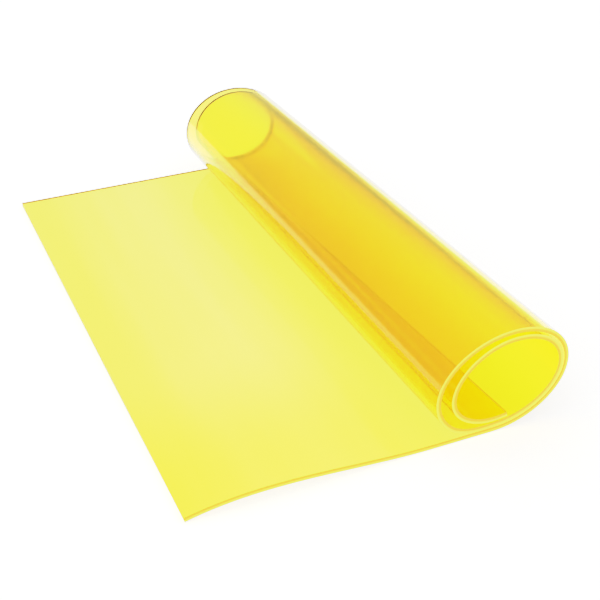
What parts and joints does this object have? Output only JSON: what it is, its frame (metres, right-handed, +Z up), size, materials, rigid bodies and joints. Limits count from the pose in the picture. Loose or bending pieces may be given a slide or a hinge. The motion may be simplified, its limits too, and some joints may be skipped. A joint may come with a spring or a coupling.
{
  "type": "welding curtain sheet",
  "caption": "Cut sheet of translucent tinted flexible PVC for a welding curtain, with a flat flap and the rest rolled in a loose hollow coil.",
  "frame": {"origin": "middle of the footprint, on the surface the sheet lies on", "axes": "+Z up, Y along the roll, -X towards the free cut edge of the flap"},
  "size_m": [0.1604, 0.3, 0.0492],
  "materials": {
    "pvc_sheet": "glossy translucent yellow"
  },
  "bodies": {
    "roll": {"floor_lap": "pvc_sheet", "outer_turn_01": "pvc_sheet", "outer_turn_02": "pvc_sheet", "outer_turn_03": "pvc_sheet", "outer_turn_04": "pvc_sheet", "outer_turn_05": "pvc_sheet", "outer_turn_06": "pvc_sheet", "outer_turn_07": "pvc_sheet", "outer_turn_08": "pvc_sheet", "outer_turn_09": "pvc_sheet", "outer_turn_10": "pvc_sheet", "outer_turn_11": "pvc_sheet", "outer_turn_12": "pvc_sheet", "inner_turn_01": "pvc_sheet", "inner_turn_02": "pvc_sheet", "inner_turn_03": "pvc_sheet", "inner_turn_04": "pvc_sheet", "inner_turn_05": "pvc_sheet", "inner_turn_06": "pvc_sheet", "inner_turn_07": "pvc_sheet", "inner_turn_08": "pvc_sheet", "inner_turn_09": "pvc_sheet", "inner_turn_10": "pvc_sheet", "inner_turn_11": "pvc_sheet", "inner_turn_12": "pvc_sheet", "inner_end": "pvc_sheet"},
    "body_flap_panel_01": {"flap_panel_01": "pvc_sheet"},
    "body_flap_panel_02": {"flap_panel_02": "pvc_sheet"},
    "body_flap_panel_03": {"flap_panel_03": "pvc_sheet"},
    "body_flap_panel_04": {"flap_panel_04": "pvc_sheet"},
    "body_flap_panel_05": {"flap_panel_05": "pvc_sheet"},
    "body_flap_panel_06": {"flap_panel_06": "pvc_sheet"},
    "body_flap_panel_07": {"flap_panel_07": "pvc_sheet"},
    "body_flap_panel_08": {"flap_panel_08": "pvc_sheet"},
    "body_flap_panel_09": {"flap_panel_09": "pvc_sheet"},
    "body_flap_panel_10": {"flap_panel_10": "pvc_sheet"},
    "body_flap_panel_11": {"flap_panel_11": "pvc_sheet"},
    "body_flap_panel_12": {"flap_panel_12": "pvc_sheet"},
    "body_flap_panel_13": {"flap_panel_13": "pvc_sheet"},
    "body_flap_panel_14": {"flap_panel_14": "pvc_sheet"},
    "body_flap_panel_15": {"flap_panel_15": "pvc_sheet"},
    "body_flap_panel_16": {"flap_panel_16": "pvc_sheet"},
    "body_flap_panel_17": {"flap_panel_17": "pvc_sheet"},
    "body_flap_panel_18": {"flap_panel_18": "pvc_sheet"},
    "body_flap_panel_19": {"flap_panel_19": "pvc_sheet"},
    "body_flap_panel_20": {"flap_panel_20": "pvc_sheet"},
    "body_flap_panel_21": {"flap_panel_21": "pvc_sheet"},
    "body_flap_panel_22": {"flap_panel_22": "pvc_sheet"},
    "body_flap_panel_23": {"flap_panel_23": "pvc_sheet"},
    "body_flap_free_edge": {"flap_free_edge": "pvc_sheet"}
  },
  "joints": [
    {"name": "bend_01", "type": "hinge", "parent": "roll", "child": "body_flap_panel_01", "pos_m": [0.0398, 0, 0.002], "axis": [0, 1, 0], "range_deg": [0, 3.2], "stiffness_Nm_per_rad": 0.3},
    {"name": "bend_02", "type": "hinge", "parent": "body_flap_panel_01", "child": "body_flap_panel_02", "pos_m": [0.0348, 0, 0.002], "axis": [0, 1, 0], "range_deg": [0, 11.4], "stiffness_Nm_per_rad": 0.3},
    {"name": "bend_03", "type": "hinge", "parent": "body_flap_panel_02", "child": "body_flap_panel_03", "pos_m": [0.0298, 0, 0.002], "axis": [0, 1, 0], "range_deg": [0, 16.6], "stiffness_Nm_per_rad": 0.3},
    {"name": "bend_04", "type": "hinge", "parent": "body_flap_panel_03", "child": "body_flap_panel_04", "pos_m": [0.0248, 0, 0.002], "axis": [0, 1, 0], "range_deg": [0, 17.5], "stiffness_Nm_per_rad": 0.3},
    {"name": "bend_05", "type": "hinge", "parent": "body_flap_panel_04", "child": "body_flap_panel_05", "pos_m": [0.0198, 0, 0.002], "axis": [0, 1, 0], "range_deg": [0, 15.2], "stiffness_Nm_per_rad": 0.3},
    {"name": "bend_06", "type": "hinge", "parent": "body_flap_panel_05", "child": "body_flap_panel_06", "pos_m": [0.0148, 0, 0.002], "axis": [0, 1, 0], "range_deg": [0, 11.1], "stiffness_Nm_per_rad": 0.3},
    {"name": "bend_07", "type": "hinge", "parent": "body_flap_panel_06", "child": "body_flap_panel_07", "pos_m": [0.0098, 0, 0.002], "axis": [0, 1, 0], "range_deg": [0, 8], "stiffness_Nm_per_rad": 0.3},
    {"name": "bend_08", "type": "hinge", "parent": "body_flap_panel_07", "child": "body_flap_panel_08", "pos_m": [0.0048, 0, 0.002], "axis": [0, 1, 0], "range_deg": [0, 8.3], "stiffness_Nm_per_rad": 0.3},
    {"name": "bend_09", "type": "hinge", "parent": "body_flap_panel_08", "child": "body_flap_panel_09", "pos_m": [-0.0002, 0, 0.002], "axis": [0, 1, 0], "range_deg": [0, 10.7], "stiffness_Nm_per_rad": 0.3},
    {"name": "bend_10", "type": "hinge", "parent": "body_flap_panel_09", "child": "body_flap_panel_10", "pos_m": [-0.0052, 0, 0.002], "axis": [0, 1, 0], "range_deg": [0, 12.1], "stiffness_Nm_per_rad": 0.3},
    {"name": "bend_11", "type": "hinge", "parent": "body_flap_panel_10", "child": "body_flap_panel_11", "pos_m": [-0.0102, 0, 0.002], "axis": [0, 1, 0], "range_deg": [0, 11.4], "stiffness_Nm_per_rad": 0.3},
    {"name": "bend_12", "type": "hinge", "parent": "body_flap_panel_11", "child": "body_flap_panel_12", "pos_m": [-0.0152, 0, 0.002], "axis": [0, 1, 0], "range_deg": [0, 10.1], "stiffness_Nm_per_rad": 0.3},
    {"name": "bend_13", "type": "hinge", "parent": "body_flap_panel_12", "child": "body_flap_panel_13", "pos_m": [-0.0202, 0, 0.002], "axis": [0, 1, 0], "range_deg": [0, 9.1], "stiffness_Nm_per_rad": 0.3},
    {"name": "bend_14", "type": "hinge", "parent": "body_flap_panel_13", "child": "body_flap_panel_14", "pos_m": [-0.0252, 0, 0.002], "axis": [0, 1, 0], "range_deg": [0, 8.8], "stiffness_Nm_per_rad": 0.3},
    {"name": "bend_15", "type": "hinge", "parent": "body_flap_panel_14", "child": "body_flap_panel_15", "pos_m": [-0.0302, 0, 0.002], "axis": [0, 1, 0], "range_deg": [0, 8.6], "stiffness_Nm_per_rad": 0.3},
    {"name": "bend_16", "type": "hinge", "parent": "body_flap_panel_15", "child": "body_flap_panel_16", "pos_m": [-0.0352, 0, 0.002], "axis": [0, 1, 0], "range_deg": [0, 8.3], "stiffness_Nm_per_rad": 0.3},
    {"name": "bend_17", "type": "hinge", "parent": "body_flap_panel_16", "child": "body_flap_panel_17", "pos_m": [-0.0402, 0, 0.002], "axis": [0, 1, 0], "range_deg": [0, 7.7], "stiffness_Nm_per_rad": 0.3},
    {"name": "bend_18", "type": "hinge", "parent": "body_flap_panel_17", "child": "body_flap_panel_18", "pos_m": [-0.0452, 0, 0.002], "axis": [0, 1, 0], "range_deg": [0, 7.1], "stiffness_Nm_per_rad": 0.3},
    {"name": "bend_19", "type": "hinge", "parent": "body_flap_panel_18", "child": "body_flap_panel_19", "pos_m": [-0.0502, 0, 0.002], "axis": [0, 1, 0], "range_deg": [0, 7.3], "stiffness_Nm_per_rad": 0.3},
    {"name": "bend_20", "type": "hinge", "parent": "body_flap_panel_19", "child": "body_flap_panel_20", "pos_m": [-0.0552, 0, 0.002], "axis": [0, 1, 0], "range_deg": [0, 8.3], "stiffness_Nm_per_rad": 0.3},
    {"name": "bend_21", "type": "hinge", "parent": "body_flap_panel_20", "child": "body_flap_panel_21", "pos_m": [-0.0602, 0, 0.002], "axis": [0, 1, 0], "range_deg": [0, 9.2], "stiffness_Nm_per_rad": 0.3},
    {"name": "bend_22", "type": "hinge", "parent": "body_flap_panel_21", "child": "body_flap_panel_22", "pos_m": [-0.0652, 0, 0.002], "axis": [0, 1, 0], "range_deg": [0, 10], "stiffness_Nm_per_rad": 0.3},
    {"name": "bend_23", "type": "hinge", "parent": "body_flap_panel_22", "child": "body_flap_panel_23", "pos_m": [-0.0702, 0, 0.002], "axis": [0, 1, 0], "range_deg": [0, 10.9], "stiffness_Nm_per_rad": 0.3},
    {"name": "bend_24", "type": "hinge", "parent": "body_flap_panel_23", "child": "body_flap_free_edge", "pos_m": [-0.0752, 0, 0.002], "axis": [0, 1, 0], "range_deg": [0, 11.9], "stiffness_Nm_per_rad": 0.3}
  ]
}
